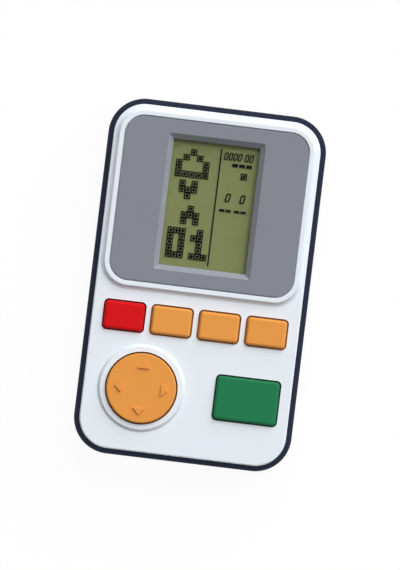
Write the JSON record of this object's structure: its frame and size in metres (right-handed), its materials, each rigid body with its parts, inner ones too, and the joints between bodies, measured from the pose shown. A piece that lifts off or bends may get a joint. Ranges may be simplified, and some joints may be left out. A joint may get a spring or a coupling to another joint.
{
  "type": "handheld game console",
  "caption": "Pocket game console with a split case, a reflective display in a raised surround, a row of push keys, an action key, a rocking direction disc and a sliding battery door.",
  "frame": {"origin": "middle of the back face, on which the console lies", "axes": "+Z out of the face, +Y along the face towards the display end, +X to the right seen from the front"},
  "size_m": [0.0554, 0.0904, 0.0201],
  "materials": {
    "navy_abs": "fine spark-eroded texture",
    "white_abs": "smooth satin",
    "grey_abs": "satin",
    "clear_acrylic": "clear",
    "lcd_glass": "reflective display behind a polariser",
    "foam": "closed-cell foam",
    "silicone": "matt",
    "zebra_rubber": "matt",
    "board_laminate": "solder mask",
    "resin": "cast resin",
    "capacitor_sleeve": "shrunk sleeve",
    "resistor_lacquer": "lacquer",
    "red_abs": "satin",
    "orange_abs": "satin",
    "green_abs": "satin",
    "steel": "bright",
    "nickel_plate": "nickel plated",
    "brass": "rolled",
    "cell_jacket": "printed film over a steel can",
    "lead_red": "insulated wire",
    "lead_black": "insulated wire"
  },
  "bodies": {
    "case": {"rear_shell": "navy_abs", "front_shell": "white_abs", "screen_panel": "grey_abs", "screen_window": "clear_acrylic", "lcd_glass": "lcd_glass", "lcd_pad": "foam", "zebra_strip": "zebra_rubber", "circuit_board": "board_laminate", "chip_blob": "resin", "capacitor": "capacitor_sleeve", "resistors": "resistor_lacquer", "key_mat": "silicone", "battery_cell_a": "cell_jacket", "battery_cell_b": "cell_jacket", "positive_contact": "nickel_plate", "negative_contact": "nickel_plate", "bridge_contact": "nickel_plate", "contact_springs": "nickel_plate", "buzzer": "brass", "battery_leads": "lead_red", "buzzer_leads": "lead_black", "case_screws": "steel", "board_screws": "steel"},
    "power_key": {"power_key": "red_abs"},
    "sound_key": {"sound_key": "orange_abs"},
    "start_key": {"start_key": "orange_abs"},
    "reset_key": {"reset_key": "orange_abs"},
    "action_key": {"action_key": "green_abs"},
    "pivot_ball": {"pivot_ball": "steel"},
    "direction_disc": {"direction_disc": "orange_abs"},
    "battery_door": {"battery_door": "navy_abs"}
  },
  "joints": [
    {"name": "power_press", "type": "slide", "parent": "case", "child": "power_key", "axis": [0, 0, -1], "range_m": [0, 0.001], "stiffness_N_per_m": 600, "deforming": ["key_mat"]},
    {"name": "sound_press", "type": "slide", "parent": "case", "child": "sound_key", "axis": [0, 0, -1], "range_m": [0, 0.001], "stiffness_N_per_m": 600, "deforming": ["key_mat"]},
    {"name": "start_press", "type": "slide", "parent": "case", "child": "start_key", "axis": [0, 0, -1], "range_m": [0, 0.001], "stiffness_N_per_m": 600, "deforming": ["key_mat"]},
    {"name": "reset_press", "type": "slide", "parent": "case", "child": "reset_key", "axis": [0, 0, -1], "range_m": [0, 0.001], "stiffness_N_per_m": 600, "deforming": ["key_mat"]},
    {"name": "action_press", "type": "slide", "parent": "case", "child": "action_key", "axis": [0, 0, -1], "range_m": [0, 0.001], "stiffness_N_per_m": 600, "deforming": ["key_mat"]},
    {"name": "disc_up_down", "type": "hinge", "parent": "case", "child": "pivot_ball", "pos_m": [-0.0116, -0.02764, 0.0168], "axis": [1, 0, 0], "range_deg": [-3.5, 3.5], "stiffness_Nm_per_rad": 0.13, "deforming": ["key_mat"]},
    {"name": "disc_left_right", "type": "hinge", "parent": "pivot_ball", "child": "direction_disc", "pos_m": [-0.0116, -0.02764, 0.0168], "axis": [0, 1, 0], "range_deg": [-3.5, 3.5], "stiffness_Nm_per_rad": 0.13, "deforming": ["key_mat"]},
    {"name": "door_slide", "type": "slide", "parent": "case", "child": "battery_door", "axis": [0, 1, 0], "range_m": [0, 0.038]}
  ]
}
